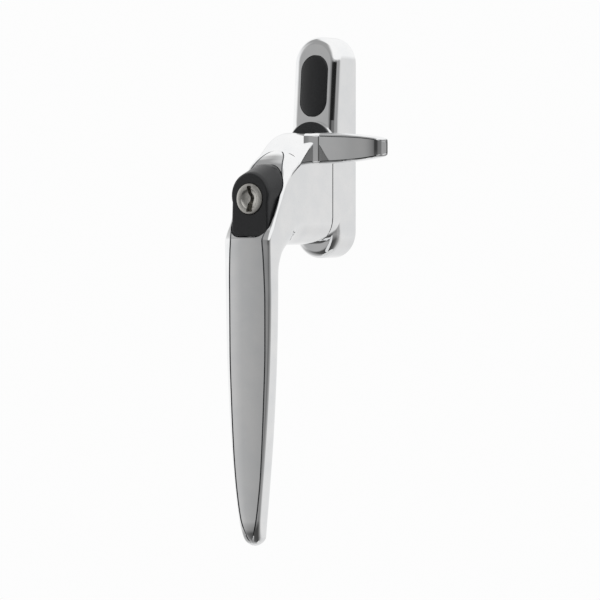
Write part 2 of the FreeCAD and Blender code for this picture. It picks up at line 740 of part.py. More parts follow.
def flatted_circle(sketch, radius, flat):
    """Circle about the lock's axis with flats at both sides, which stop the bolt turning."""
    r, half, level = size(radius), size(flat), size("lock_height")
    angle = math.acos(half / r)
    lift = r * math.sin(angle)
    up = vector(0, 0, 1)
    whole = Part.Circle(vector(0, level, 0), up, r)
    upper = sketch.addGeometry(Part.ArcOfCircle(whole, angle, math.pi - angle))
    high, low = level + lift, level - lift
    left = sketch.addGeometry(Part.LineSegment(vector(-half, high, 0), vector(-half, low, 0)))
    lower = sketch.addGeometry(Part.ArcOfCircle(whole, math.pi + angle, 2 * math.pi - angle))
    right = sketch.addGeometry(Part.LineSegment(vector(half, low, 0), vector(half, high, 0)))
    chain = (upper, left, lower, right)
    for edge, following in zip(chain, chain[1:] + chain[:1]):
        sketch.addConstraint(Sketcher.Constraint("Coincident", edge, 2, following, 1))
    for arc in (upper, lower):
        fix_point(sketch, arc, 3, "0", "lock_height")
        bind(sketch, "Radius", (arc,), radius)
    sketch.addConstraint(Sketcher.Constraint("Vertical", left))
    sketch.addConstraint(Sketcher.Constraint("Vertical", right))
    bind(sketch, "DistanceX", (-1, 1, left, 1), f"-({flat})")
    bind(sketch, "DistanceX", (-1, 1, right, 1), flat)


# ---------------------------------------------------------------------------- lock


def housing_outline(sketch, radius, height, foot, bottom):
    """Egg outline of the lock housing: a round head on sides that draw in to a straight foot."""
    r, level, half, low = size(radius), size(height), size(foot), size(bottom)
    lean = math.radians(HOUSING_LEAN)
    up = vector(0, 0, 1)
    head = Part.Circle(vector(0, level, 0), up, r)
    arc = sketch.addGeometry(Part.ArcOfCircle(head, -lean, math.pi + lean))
    side_x, side_z = r * math.cos(lean), level - r * math.sin(lean)
    places = ((-side_x, side_z), (-half, low), (half, low), (side_x, side_z))
    points = [vector(x, z, 0) for x, z in places]
    lines = [sketch.addGeometry(Part.LineSegment(a, b)) for a, b in zip(points, points[1:])]
    chain = [arc] + lines
    for edge, following in zip(chain, chain[1:] + chain[:1]):
        sketch.addConstraint(Sketcher.Constraint("Coincident", edge, 2, following, 1))
    fix_point(sketch, arc, 3, "0", height)
    bind(sketch, "Radius", (arc,), radius)
    fix_point(sketch, lines[1], 1, f"-({foot})", bottom)
    fix_point(sketch, lines[1], 2, foot, bottom)
    drop = f"({height}) - ({radius}) * {math.sin(lean):.6f}"
    bind(sketch, "DistanceY", (-1, 1, arc, 1), drop)
    bind(sketch, "DistanceY", (-1, 1, arc, 2), drop)


def lock_housing():
    """Moulded black surround of the lock: straight skirt in the pocket, tapering in to a flat face."""
    body = new_body("lock_housing")
    skirt = front_sketch(body, "housing_floor_depth")
    rim = ("housing_rim_radius", "housing_rim_height", "housing_rim_foot", "housing_bottom")
    housing_outline(skirt, *rim)
    pad(body, skirt, "housing_rim_depth - housing_floor_depth")
    lower = front_sketch(body, "housing_rim_depth")
    housing_outline(lower, *rim)
    face = front_sketch(body, "housing_face_depth")
    face_radius = f"{BARREL_RADIUS} + housing_face_wall"
    housing_outline(face, face_radius, "housing_face_height", "housing_face_foot", "housing_bottom")
    loft = body.newObject("PartDesign::AdditiveLoft", "lock_housing_taper")
    loft.Profile = lower
    loft.Sections = [face]
    doc.recompute()
    mouth = front_sketch(body, "housing_face_depth + 1")
    circle(mouth, "0", "lock_height", "plug_radius + 2 * running_clearance")
    pocket(body, mouth, "housing_face_depth + 1 - housing_floor_depth + 1")
    bore = front_sketch(body, "housing_face_depth - housing_lip")
    circle(bore, "0", "lock_height", BARREL_RADIUS)
    pocket(body, bore, "housing_face_depth - housing_lip - housing_floor_depth + 1")


def lock_barrel():
    """Die-cast sleeve that the key plug turns in, with a thin wall at its back end."""
    body = ring("lock_barrel", "barrel_tail_depth", "housing_face_depth - housing_lip - barrel_tail_depth",
                BARREL_RADIUS, "plug_radius + running_clearance", "lock_height")
    wall = front_sketch(body, "barrel_tail_depth")
    circle(wall, "0", "lock_height", BARREL_RADIUS)
    circle(wall, "0", "lock_height", "plug_tail_radius + running_clearance")
    pad(body, wall, "barrel_back_wall")


def key_plug():
    """Plug with a dished face, a keyway, cross slots for the wafers and a stepped tail for the cam."""
    body = new_body("key_plug")
    barrel = front_sketch(body, PLUG_BACK)
    circle(barrel, "0", "lock_height", "plug_radius")
    pad(body, barrel, f"{PLUG_FACE} - ({PLUG_BACK})")
    tail = front_sketch(body, CAM_FRONT)
    circle(tail, "0", "lock_height", "plug_tail_radius")
    pad(body, tail, f"{PLUG_BACK} - ({CAM_FRONT})")
    dish = front_sketch(body, PLUG_FACE)
    circle(dish, "0", "lock_height", "plug_dish_radius")
    pocket(body, dish, "plug_dish_depth")
    groove = front_sketch(body, f"{PLUG_CLIP_START} + plug_clip_thickness + 0.04")
    circle(groove, "0", "lock_height", "plug_tail_radius + 1")
    circle(groove, "0", "lock_height", "plug_clip_groove_radius")
    pocket(body, groove, "plug_clip_thickness + 0.08")
    keyway = front_sketch(body, PLUG_FACE)
    polygon(keyway, [
        ("-keyway_width", "lock_height + keyway_height / 2"),
        ("0.2 * keyway_width", "lock_height + keyway_height / 2"),
        ("0.2 * keyway_width", "lock_height + keyway_height / 4"),
        ("0.8 * keyway_width", "lock_height"),
        ("0.4 * keyway_width", "lock_height - keyway_height / 4"),
        ("0.4 * keyway_width", "lock_height - keyway_height / 2"),
        ("-0.6 * keyway_width", "lock_height - keyway_height / 2"),
        ("-0.6 * keyway_width", "lock_height - keyway_height / 4"),
        ("-0.2 * keyway_width", "lock_height"),
        ("-0.8 * keyway_width", "lock_height + keyway_height / 4"),
    ])
    pocket(body, keyway, "keyway_depth")
    for number in range(WAFERS):
        depth = wafer_depth(number)
        slot = front_sketch(body, f"{depth} + wafer_clearance")
        half = "(wafer_width / 2 + wafer_clearance)"
        spring_side = f"({half} + 2 * wafer_spring_radius + 3 * wafer_spring_wire)"
        spring_half = "(wafer_spring_reach / 2 + wafer_clearance)"
        polygon(slot, [
            (f"-({half})", "lock_height - plug_radius - 1"),
            (half, "lock_height - plug_radius - 1"),
            (half, f"lock_height - {spring_half}"),
            (spring_side, f"lock_height - {spring_half}"),
            (spring_side, f"lock_height + {spring_half}"),
            (half, f"lock_height + {spring_half}"),
            (half, "lock_height + plug_radius + 1"),
            (f"-({half})", "lock_height + plug_radius + 1"),
        ])
        pocket(body, slot, "wafer_thickness + 2 * wafer_clearance")
    thread = front_sketch(body, CAM_FRONT)
    circle(thread, "0", "lock_height", "cam_screw_radius")
    hole = body.newObject("PartDesign::Pocket", "key_plug_thread")
    hole.Profile = thread
    hole.Reversed = True
    hole.setExpression("Length", formula("cam_screw_length"))
    doc.recompute()


def wafer_depth(number):
    """Front face of a wafer, counted from the key's side."""
    return f"wafer_first_depth - {number} * wafer_pitch"


def tumbler_wafers():
    """Brass wafers across the plug, each with a window for the key, lifted to the shear line."""
    tower = doc.addObject("Part::Compound", "tumbler_wafers")
    links = []
    for number in range(WAFERS):
        front = f"{wafer_depth(number)} - wafer_thickness"
        disc = cylinder("wafer_round", "plug_radius - wafer_clearance", front, "wafer_thickness")
        strip = doc.addObject("Part::Box", "wafer_strip")
        bind_box(strip, "wafer_width", "wafer_thickness", "2 * plug_radius", front)
        window = doc.addObject("Part::Box", "wafer_window")
        bind_box(window, "wafer_width - 2.4", "wafer_thickness + 2", "keyway_height * 0.62", f"{front} - 1")
        both = doc.addObject("Part::Common", "wafer_blank")
        both.Base, both.Tool = disc, strip
        cut = doc.addObject("Part::Cut", "wafer")
        cut.Base, cut.Tool = both, window
        links.append(cut)
    tower.Links = links
    tower.Label = "tumbler_wafers"
    pieces.append(tower)
    doc.recompute()


def cylinder(name, radius, depth, length, height="lock_height"):
    """Round bar along -Y from a depth, on X = 0 at a height."""
    bar = doc.addObject("Part::Cylinder", name)
    bar.Placement.Rotation = FreeCAD.Rotation(vector(1, 0, 0), 90)
    bar.setExpression("Radius", formula(radius))
    bar.setExpression("Height", formula(length))
    bar.setExpression("Placement.Base.y", formula(f"-({depth})"))
    bar.setExpression("Placement.Base.z", formula(height))
    return bar


def bind_box(box, width, thickness, tall, depth):
    """Size a box centred on the lock's axis, its back face at a depth."""
    box.setExpression("Length", formula(width))
    box.setExpression("Width", formula(thickness))
    box.setExpression("Height", formula(tall))
    box.setExpression("Placement.Base.x", formula(f"-({width}) / 2"))
    box.setExpression("Placement.Base.y", formula(f"-({depth}) - ({thickness})"))
    box.setExpression("Placement.Base.z", formula(f"lock_height - ({tall}) / 2"))


def plug_circlip():
    """Open clip on the plug's tail, behind the barrel."""
    body = ring("plug_circlip", PLUG_CLIP_START, "plug_clip_thickness", "plug_clip_radius",
                "plug_clip_groove_radius + 0.02", "lock_height")
    mouth = front_sketch(body, f"{PLUG_CLIP_START} + plug_clip_thickness")
    polygon(mouth, [
        ("0", "lock_height - plug_clip_groove_radius * 0.7"),
        ("plug_clip_radius + 1", "lock_height - plug_clip_groove_radius * 0.7"),
        ("plug_clip_radius + 1", "lock_height + plug_clip_groove_radius * 0.7"),
        ("0", "lock_height + plug_clip_groove_radius * 0.7"),
    ])
    pocket(body, mouth, "plug_clip_thickness")


def lock_cam():
    """Disc on the plug's tail with two screw-shaped ramps that drive the bolt."""
    inner, outer = size("cam_inner_radius"), size("cam_radius")
    travel, disc = size("bolt_travel"), size("cam_disc_thickness")
    whole_turn = travel * 360 / KEY_TURN
    edges = [Part.makeLongHelix(whole_turn, travel, radius) for radius in (inner, outer)]
    slope = Part.makeRuledSurface(edges[0].Edges[0], edges[1].Edges[0])
    wedge = slope.extrude(vector(0, 0, -travel - disc))
    above = Part.makeBox(3 * outer, 3 * outer, 2 * travel, vector(-1.5 * outer, -1.5 * outer, -disc / 2))
    ramp = wedge.common(above)
    plate = Part.makeCylinder(outer, disc, vector(0, 0, -disc))
    bore = Part.makeCylinder(size("cam_screw_radius"), disc, vector(0, 0, -disc))
    other = ramp.copy()
    other.rotate(vector(0, 0, 0), vector(0, 0, 1), 180)
    shape = plate.fuse([ramp, other]).cut(bore).removeSplitter()
    shape = shape.mirror(vector(0, 0, 0), vector(1, 0, 0))
    shape.rotate(vector(0, 0, 0), vector(0, 0, 1), 90)
    place_on_lock_axis("lock_cam", shape, size(f"{CAM_FACE}"))


def place_on_lock_axis(name, shape, depth):
    """Feature whose own +Z points to the frame, its origin on the lock's axis at a depth."""
    feature = doc.addObject("Part::Feature", name)
    feature.Label = name
    feature.Shape = shape
    own = shape.Placement
    turn = FreeCAD.Rotation(vector(1, 0, 0), -90)
    feature.Placement = FreeCAD.Placement(vector(0, -depth, size("lock_height")), turn).multiply(own)
    pieces.append(feature)
    return feature


def lock_bolt():
    """Bolt with a flatted head; two followers on the head ride the cam's ramps."""
    body = new_body("lock_bolt")
    shank = front_sketch(body, BOLT_BACK)
    circle(shank, "0", "lock_height", "bolt_radius")
    pad(body, shank, f"{BOLT_HEAD_FRONT} - bolt_head_thickness - ({BOLT_BACK})")
    head = front_sketch(body, f"{BOLT_HEAD_FRONT} - bolt_head_thickness")
    flatted_circle(head, "cam_radius", "bolt_flat")
    pad(body, head, "bolt_head_thickness")
    prongs = front_sketch(body, BOLT_HEAD_FRONT)
    for turn in (0, 180):
        follower_outline(prongs, turn)
    pad(body, prongs, f"{CAM_FACE} - cam_clearance - ({BOLT_HEAD_FRONT})")


def follower_outline(sketch, turn):
    """Sector of a ring that starts on the line from the lock's axis straight up or down."""
    inner, outer, level = size("cam_inner_radius"), size("cam_radius"), size("lock_height")
    start = math.radians(90 + turn - FOLLOWER_ANGLE)
    end = math.radians(90 + turn)
    up = vector(0, 0, 1)
    centre = vector(0, level, 0)
    wide = sketch.addGeometry(Part.ArcOfCircle(Part.Circle(centre, up, outer), start, end))
    narrow = sketch.addGeometry(Part.ArcOfCircle(Part.Circle(centre, up, inner), start, end))
    first = Part.LineSegment(polar(centre, inner, start), polar(centre, outer, start))
    last = Part.LineSegment(polar(centre, outer, end), polar(centre, inner, end))
    begin, finish = sketch.addGeometry(first), sketch.addGeometry(last)
    for pair in ((begin, 2, wide, 1), (wide, 2, finish, 1), (finish, 2, narrow, 2), (narrow, 1, begin, 1)):
        sketch.addConstraint(Sketcher.Constraint("Coincident", *pair))
    for arc, radius in ((wide, "cam_radius"), (narrow, "cam_inner_radius")):
        fix_point(sketch, arc, 3, "0", "lock_height")
        bind(sketch, "Radius", (arc,), radius)
    sketch.addConstraint(Sketcher.Constraint("Vertical", finish))


def polar(centre, radius, angle):
    return centre + vector(radius * math.cos(angle), radius * math.sin(angle), 0)


def bolt_guide():
    ring("bolt_guide", BOSS_FACE, "guide_length", "guide_radius", "bolt_radius + running_clearance",
         "lock_height")


def bolt_spring():
    """Compression spring round the bolt's shank, from the guide to the head."""
    length = size(f"{BOLT_HEAD_FRONT} - bolt_head_thickness - ({BOSS_FACE} + guide_length)")
    wire, radius = size("bolt_spring_wire"), size("bolt_spring_radius")
    coil_spring("bolt_spring", [(0, size(f"{BOSS_FACE} + guide_length"), size("lock_height"))],
                radius, wire, length, 5)


def coil_spring(name, places, radius, wire, length, turns, across=False):
    """Round wire swept along a helix at each place; it lies along Y, or along Z when across."""
    rise = length - 2 * wire
    path = Part.makeHelix(rise / turns, rise, radius)
    section = Part.Wire(Part.Circle(vector(radius, 0, 0), vector(0, 1, 0), wire).toShape())
    coil = Part.Wire(path).makePipeShell([section], True, True)
    coil.translate(vector(0, 0, wire))
    coils = []
    for x, depth, height in places:
        copy = coil.copy()
        if not across:
            copy.rotate(vector(0, 0, 0), vector(1, 0, 0), 90)
        copy.translate(vector(x, -depth, height))
        coils.append(copy)
    feature = doc.addObject("Part::Feature", name)
    feature.Label = name
    feature.Shape = coils[0] if len(coils) == 1 else Part.makeCompound(coils)
    pieces.append(feature)


def wafer_springs():
    """One tiny spring beside each wafer, in the plug's cross slot."""
    radius, wire, reach = (size(f"wafer_spring_{word}") for word in ("radius", "wire", "reach"))
    beside = size("wafer_width / 2 + wafer_clearance") + radius + 2 * wire
    foot = size("lock_height") - reach / 2
    middles = [size(f"{wafer_depth(number)} - wafer_thickness / 2") for number in range(WAFERS)]
    places = [(beside, depth, foot) for depth in middles]
    coil_spring("wafer_springs", places, radius, wire, reach, 4, across=True)


def cam_screw():
    """Screw into the plug's tail that holds the cam."""
    body = new_body("cam_screw")
    head = front_sketch(body, f"{CAM_FACE} - cam_screw_head_thickness")
    circle(head, "0", "lock_height", "cam_screw_head_radius")
    pad(body, head, "cam_screw_head_thickness")
    shank = front_sketch(body, CAM_FACE)
    circle(shank, "0", "lock_height", "cam_screw_radius")
    pad(body, shank, "cam_disc_thickness + cam_screw_length")


base_casting()
screw_cover_cap()
pivot_parts()
stop_pin()
handle_casting()
lock_housing()
lock_barrel()
key_plug()
tumbler_wafers()
wafer_springs()
plug_circlip()
lock_cam()
cam_screw()
lock_bolt()
bolt_guide()
bolt_spring()
doc.recompute()

for item in doc.Objects:
    if "Invalid" in item.State or "Error" in item.State:
        raise RuntimeError(f"{item.Name} failed: {item.State}")
for piece in pieces:
    if piece.Shape.isNull() or not piece.Shape.isValid():
        raise RuntimeError(f"{piece.Label} has no valid shape")

os.makedirs("parts", exist_ok=True)
for piece in pieces:
    piece.Shape.exportStep(f"parts/{piece.Label}.step")
    print(f"{piece.Label}: {len(piece.Shape.Solids)} solids, {piece.Shape.Volume:.1f} mm3")
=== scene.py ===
"""Locking casement window fastener, right handed: polished chrome handle and backplate, black lock.

Sizes are in millimetres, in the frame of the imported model: X is across the window frame, Z is up, and
a depth is measured from the mounting plane towards the room, so a depth of 10 is the plane Y = -10.
"""

import math

import bmesh
import bpy
import numpy as np
from mathutils import Matrix, Vector


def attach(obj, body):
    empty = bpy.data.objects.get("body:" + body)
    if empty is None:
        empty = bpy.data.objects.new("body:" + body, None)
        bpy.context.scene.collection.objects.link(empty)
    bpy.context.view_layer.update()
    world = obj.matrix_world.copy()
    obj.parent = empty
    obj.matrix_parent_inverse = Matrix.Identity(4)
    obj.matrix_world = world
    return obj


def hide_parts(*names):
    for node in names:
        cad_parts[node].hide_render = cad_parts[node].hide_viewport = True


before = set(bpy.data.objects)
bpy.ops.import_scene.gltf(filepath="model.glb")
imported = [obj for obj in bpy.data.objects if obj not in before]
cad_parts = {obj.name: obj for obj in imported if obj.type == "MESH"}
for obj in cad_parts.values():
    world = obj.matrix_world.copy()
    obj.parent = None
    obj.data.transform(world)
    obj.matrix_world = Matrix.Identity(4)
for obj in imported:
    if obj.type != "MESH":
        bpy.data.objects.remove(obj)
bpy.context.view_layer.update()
scene = bpy.context.scene

# ---------------------------------------------------------------------------- camera
# A long lens held a little above the fastener and to its right, 34 degrees round from the front,
# so that the front of the grip and the whole right flank show.
CAMERA_PLACE = (0.439634, -0.669775, -0.017775)
CAMERA_SIDE = 34.0  # degrees round to the right
CAMERA_RISE = 2.0  # degrees above level

side, rise = math.radians(CAMERA_SIDE), math.radians(CAMERA_RISE)
toward_camera = Vector((math.sin(side) * math.cos(rise), -math.cos(side) * math.cos(rise), math.sin(rise)))
camera_data = bpy.data.cameras.new("studio_camera")
camera_data.lens = 159.36
camera_data.sensor_width = 36
camera_data.clip_start = 0.01
camera_data.clip_end = 20
camera = bpy.data.objects.new("studio_camera", camera_data)
camera.matrix_world = Matrix.LocRotScale(
    Vector(CAMERA_PLACE), toward_camera.to_track_quat("Z", "Y"), None)
scene.collection.objects.link(camera)
scene.camera = camera
scene.view_settings.view_transform = "Standard"

# ---------------------------------------------------------------------------- studio
# A white tent round the fastener, open at the front right where the dark end of the room shows:
# polished chrome has no colour of its own and gets all its shading from this.
SEEN_WHITE = (0.98, 0.98, 0.98, 1)  # what the camera sees past the fastener


def linear(hex_colour):
    """An sRGB hex colour as the linear RGBA that sockets take."""
    parts = [int(hex_colour[i:i + 2], 16) / 255 for i in (1, 3, 5)]
    return [c / 12.92 if c <= 0.04045 else ((c + 0.055) / 1.055) ** 2.4 for c in parts] + [1.0]


def add_node(tree, kind, inputs=(), **settings):
    """Add a node, apply its settings, then fill its inputs with values or link them to outputs."""
    node = tree.nodes.new(kind)
    for name, value in settings.items():
        setattr(node, name, value)
    for key, value in dict(inputs).items():
        if isinstance(value, bpy.types.NodeSocket):
            tree.links.new(value, node.inputs[key])
        else:
            node.inputs[key].default_value = value
    return node


def ramp(node, stops):
    """Set a Color Ramp's stops from (place 0 to 1, grey level) pairs."""
    elements = node.color_ramp.elements
    elements[0].position, elements[-1].position = stops[0][0], stops[-1][0]
    for place, _ in stops[1:-1]:
        elements.new(place)
    for element, (_, level) in zip(elements, stops):
        element.color = (level, level, level, 1)


# light from each bearing, in degrees from straight in front towards the right; the seven levels of a row
# go up from far below the fastener, through its own height, to the foot of the roof
BEARINGS = [
    (-180, 0.75, 0.80, 0.75, 0.75, 0.75, 0.95, 0.95),
    (-112, 0.80, 0.95, 0.95, 0.95, 0.95, 0.95, 0.95),
    (-102, 0.60, 0.92, 0.95, 0.95, 0.95, 0.95, 0.36),
    (-56, 0.30, 0.90, 0.95, 0.95, 0.92, 0.72, 0.33),
    (-46, 0.14, 0.54, 0.62, 0.62, 0.60, 0.36, 0.33),
    (-38, 0.09, 0.42, 0.42, 0.42, 0.42, 0.33, 0.33),
    (-28, 0.07, 0.36, 0.34, 0.33, 0.33, 0.33, 0.33),
    (-16, 0.06, 0.30, 0.25, 0.24, 0.27, 0.33, 0.33),
    (-8, 0.06, 0.29, 0.15, 0.14, 0.22, 0.38, 0.38),
    (-4, 0.06, 0.28, 0.04, 0.03, 0.18, 0.50, 0.50),
    (14, 0.06, 0.29, 0.05, 0.015, 0.18, 0.90, 0.90),
    (24, 0.07, 0.29, 0.15, 0.015, 0.18, 0.95, 0.95),
    (52, 0.10, 0.30, 0.17, 0.015, 0.20, 0.95, 0.95),
    (58, 0.12, 0.31, 0.20, 0.06, 0.24, 0.95, 0.95),
    (62, 0.15, 0.34, 0.33, 0.33, 0.33, 0.95, 0.95),
    (99, 0.34, 0.42, 0.34, 0.34, 0.34, 0.95, 0.95),
    (108, 0.50, 0.62, 0.58, 0.58, 0.58, 0.95, 0.95),
    (122, 0.60, 0.72, 0.72, 0.72, 0.72, 0.95, 0.95),
    (180, 0.75, 0.80, 0.75, 0.75, 0.75, 0.95, 0.95),
]
# the sines of elevation between which each level gives way to the next
BLENDS = [(-0.50, -0.25), (-0.25, 0.022), (0.120, 0.165), (0.200, 0.225), (0.225, 0.35), (0.35, 0.66)]
ROOF_FOOT, ROOF_WHITE = (0.82, 0.92), (0.95, 0.95, 0.95, 1)

world = bpy.data.worlds.new("studio_tent")
world.use_nodes = True
tent = world.node_tree
tent.nodes.clear()
direction = add_node(tent, "ShaderNodeTexCoord").outputs["Generated"]
parts = add_node(tent, "ShaderNodeSeparateXYZ", {0: direction})
toward = add_node(tent, "ShaderNodeMath", {0: parts.outputs["Y"], 1: -1.0}, operation="MULTIPLY")
bearing = add_node(tent, "ShaderNodeMath", {0: parts.outputs["X"], 1: toward.outputs[0]},
                   operation="ARCTAN2")
around = add_node(tent, "ShaderNodeMapRange", {
    "Value": bearing.outputs[0], "From Min": -math.pi, "From Max": math.pi})


def blend_by(height, start, end, low, high):
    """Light that changes from one colour to another between two sines of elevation."""
    share = add_node(tent, "ShaderNodeMapRange", {"Value": height, "From Min": start, "From Max": end})
    return add_node(tent, "ShaderNodeMix", {0: share.outputs["Result"], 6: low, 7: high},
                    data_type="RGBA").outputs[2]


belts = []
bearings, *levels = zip(*BEARINGS)
for level in levels:
    belt = add_node(tent, "ShaderNodeValToRGB", {"Fac": around.outputs["Result"]})
    ramp(belt, [((angle + 180) / 360, grey) for angle, grey in zip(bearings, level)])
    belts.append(belt.outputs["Color"])
light = belts[0]
for belt, (start, end) in zip(belts[1:], BLENDS):
    light = blend_by(parts.outputs["Z"], start, end, light, belt)
# the tent's white roof closes over the walls
light = blend_by(parts.outputs["Z"], *ROOF_FOOT, light, ROOF_WHITE)
seen = add_node(tent, "ShaderNodeLightPath")
backdrop = add_node(tent, "ShaderNodeMix", {
    0: seen.outputs["Is Camera Ray"], 6: light, 7: SEEN_WHITE}, data_type="RGBA")
glow = add_node(tent, "ShaderNodeBackground", {"Color": backdrop.outputs[2], "Strength": 1.0})
add_node(tent, "ShaderNodeOutputWorld", {"Surface": glow.outputs[0]})
scene.world = world

# ---------------------------------------------------------------------------- chrome
# Zinc die castings, polished and plated with bright chrome: a mirror-bright, faintly blue metal with
# the very slight haze that buffing leaves.
MM = 0.001  # metres in a millimetre
NOISE_SPAN = (0.35, 0.65)  # the part of a noise's range where most of it lies


def material(name):
    """A new node material with an empty Principled BSDF, and that node."""
    made = bpy.data.materials.new(name)
    made.use_nodes = True
    tree = made.node_tree
    tree.nodes.clear()
    surface = add_node(tree, "ShaderNodeBsdfPrincipled")
    add_node(tree, "ShaderNodeOutputMaterial", {"Surface": surface.outputs[0]})
    return made, tree, surface


def mottle(tree, surface, light, dark, grain, rough, bump=0.0):
    """Colour between two hex values, roughness between two levels, in patches of a grain in mm."""
    place = add_node(tree, "ShaderNodeTexCoord").outputs["Object"]
    noise = add_node(tree, "ShaderNodeTexNoise", {
        "Vector": place, "Scale": 1 / (grain * MM), "Detail": 4.0})
    shade = add_node(tree, "ShaderNodeValToRGB", {"Fac": noise.outputs["Fac"]})
    for element, position, colour in zip(shade.color_ramp.elements, NOISE_SPAN, (dark, light)):
        element.position, element.color = position, linear(colour)
    gloss = add_node(tree, "ShaderNodeMapRange", {
        "Value": noise.outputs["Fac"], "From Min": NOISE_SPAN[0], "From Max": NOISE_SPAN[1],
        "To Min": rough[0], "To Max": rough[1]})
    tree.links.new(shade.outputs["Color"], surface.inputs["Base Color"])
    tree.links.new(gloss.outputs["Result"], surface.inputs["Roughness"])
    if bump:
        relief = add_node(tree, "ShaderNodeBump", {
            "Height": noise.outputs["Fac"], "Strength": 1.0, "Distance": bump * MM})
        tree.links.new(relief.outputs["Normal"], surface.inputs["Normal"])


def metal(name, *finish, bump=0.0):
    """A new metal with a mottled finish."""
    made, tree, surface = material(name)
    surface.inputs["Metallic"].default_value = 1.0
    mottle(tree, surface, *finish, bump=bump)
    return made


chrome = metal("polished_chrome", "#FBFBFB", "#F5F6F7", 6.0, (0.035, 0.055))

# the lines round the handle's front and the nose's panel get a rougher chrome whose dark grey is painted
# shade, standing in for the shade that falls in the grooves
groove_painted_shade = metal("chrome_with_painted_groove_shade", "#6E7072", "#55575A", 0.8, (0.25, 0.4))


def finish_node(name, made):
    """Give a carried-over CAD node a better material."""
    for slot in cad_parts[name].material_slots:
        slot.material = made


# ---------------------------------------------------------------------------- backplate
# The die-cast backplate that two screws hold to the frame: round-ended, with sloping lobes either
# side of the flat turret that the handle turns on. Its CAD mesh has the right shape.
finish_node("base_casting", chrome)

# ---------------------------------------------------------------------------- black mouldings
# The screw cover, thrust washer and lock surround are injection moulded in black ABS, which has a
# soft sheen and a very fine spark-eroded texture.
black_moulding, tree, surface = material("moulded_black_abs")
surface.inputs["IOR"].default_value = 1.53
# a real spark texture of 0.05 mm is too fine to show, so it is drawn at 0.3 mm
mottle(tree, surface, "#26272A", "#1D1E20", 0.3, (0.30, 0.42), bump=0.012)
finish_node("thrust_washer", black_moulding)

# ---------------------------------------------------------------------------- screw cover
# A slotted oval cap that snaps over the upper fixing screw. Its face follows the slope of the lobe
# and is crowned a little, with a rounded rim that stands just clear of the chrome round it.
COVER_WIDTH, COVER_LENGTH, COVER_HEIGHT = 9.4, 18.3, 18.3
LOBE_TIP, LOBE_FOOT = (33.0, 9.4), (8.0, 11.4)  # (height, depth) of the lobe's face at its two ends
COVER_PROUD = 0.15
COVER_CROWN = 0.35


def skin(name, rings, material_of=None, materials=(chrome,), cap_start=True, cap_end=True):
    """Closed mesh over a list of rings of (x, depth, z) points in mm, with the same count in each."""
    mesh = bpy.data.meshes.new(name)
    made = bmesh.new()
    grid = [[made.verts.new((x * MM, -d * MM, z * MM)) for x, d, z in ring] for ring in rings]
    count = len(grid[0])
    for j, (near_ring, far_ring) in enumerate(zip(grid, grid[1:])):
        for i in range(count):
            k = (i + 1) % count
            face = made.faces.new((near_ring[i], near_ring[k], far_ring[k], far_ring[i]))
            face.smooth = True
            face.material_index = material_of(i, j) if material_of else 0
    if cap_start:
        made.faces.new(grid[0][::-1])
    if cap_end:
        made.faces.new(grid[-1])
    bmesh.ops.recalc_face_normals(made, faces=made.faces)
    made.to_mesh(mesh)
    made.free()
    for each in materials:
        mesh.materials.append(each)
    piece = bpy.data.objects.new(name, mesh)
    scene.collection.objects.link(piece)
    return piece


def crease(piece, angle, smooth_below=-1000):
    """Sharpen the edges of a smooth mesh that turn by more than an angle in degrees, above a height."""
    made = bmesh.new()
    made.from_mesh(piece.data)
    for edge in made.edges:
        if len(edge.link_faces) == 2:
            low = edge.verts[0].co.z < smooth_below * MM
            edge.smooth = low or edge.calc_face_angle(0) < math.radians(angle)
    made.to_mesh(piece.data)
    made.free()


def lobe_depth(height):
    """Depth of the lobe's sloping face at a height."""
    (tip_z, tip_d), (foot_z, foot_d) = LOBE_TIP, LOBE_FOOT
    return foot_d + (tip_d - foot_d) * (height - foot_z) / (tip_z - foot_z)


def oval(width, length, middle, points=20):
    """Upright slot outline as (x, z) points, anticlockwise from the right."""
    r, straight = width / 2, (length - width) / 2
    turns = [math.pi * i / points for i in range(points + 1)]
    upper = [(r * math.cos(t), middle + straight + r * math.sin(t)) for t in turns]
    lower = [(-r * math.cos(t), middle - straight - r * math.sin(t)) for t in turns]
    return upper + lower


# inset from the outline, and height above the chrome, from the skirt in to the middle of the face
cover_steps = [(0.0, -1.9), (0.0, -0.25), (0.05, -0.05), (0.2, 0.08), (0.45, COVER_PROUD)]
cover_steps += [(0.45 + 3.7 * f, COVER_PROUD + COVER_CROWN * (1 - (1 - f) ** 2))
                for f in (0.2, 0.4, 0.6, 0.8, 1.0)]
cover_rings = []
for inset, lift in cover_steps:
    outline = oval(COVER_WIDTH - 2 * inset, COVER_LENGTH - 2 * inset, COVER_HEIGHT)
    cover_rings.append([(x, lobe_depth(z) + lift, z) for x, z in outline])
cover = skin("screw_cover_cap_face", cover_rings, materials=(black_moulding,))
crease(cover, 50)
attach(cover, "backplate")
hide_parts("screw_cover_cap")

# ---------------------------------------------------------------------------- pivot
# The bright steel spindle pressed into the handle turns in a sintered bronze bush and is held from
# behind by a disc spring, a washer and a circlip.
bright_steel = metal("turned_bright_steel", "#C4C5C6", "#ABADAF", 0.6, (0.18, 0.30), bump=0.004)
for name in ("pivot_spindle", "stop_pin"):
    finish_node(name, bright_steel)

spring_steel = metal("blued_spring_steel", "#7E8186", "#5F6268", 0.8, (0.22, 0.35))
for name in ("disc_spring", "spindle_circlip", "plug_circlip", "bolt_spring", "wafer_springs"):
    finish_node(name, spring_steel)

sintered_bronze = metal("oiled_sintered_bronze", "#B58A55", "#8A6338", 0.25, (0.35, 0.55), bump=0.01)
finish_node("pivot_bush", sintered_bronze)

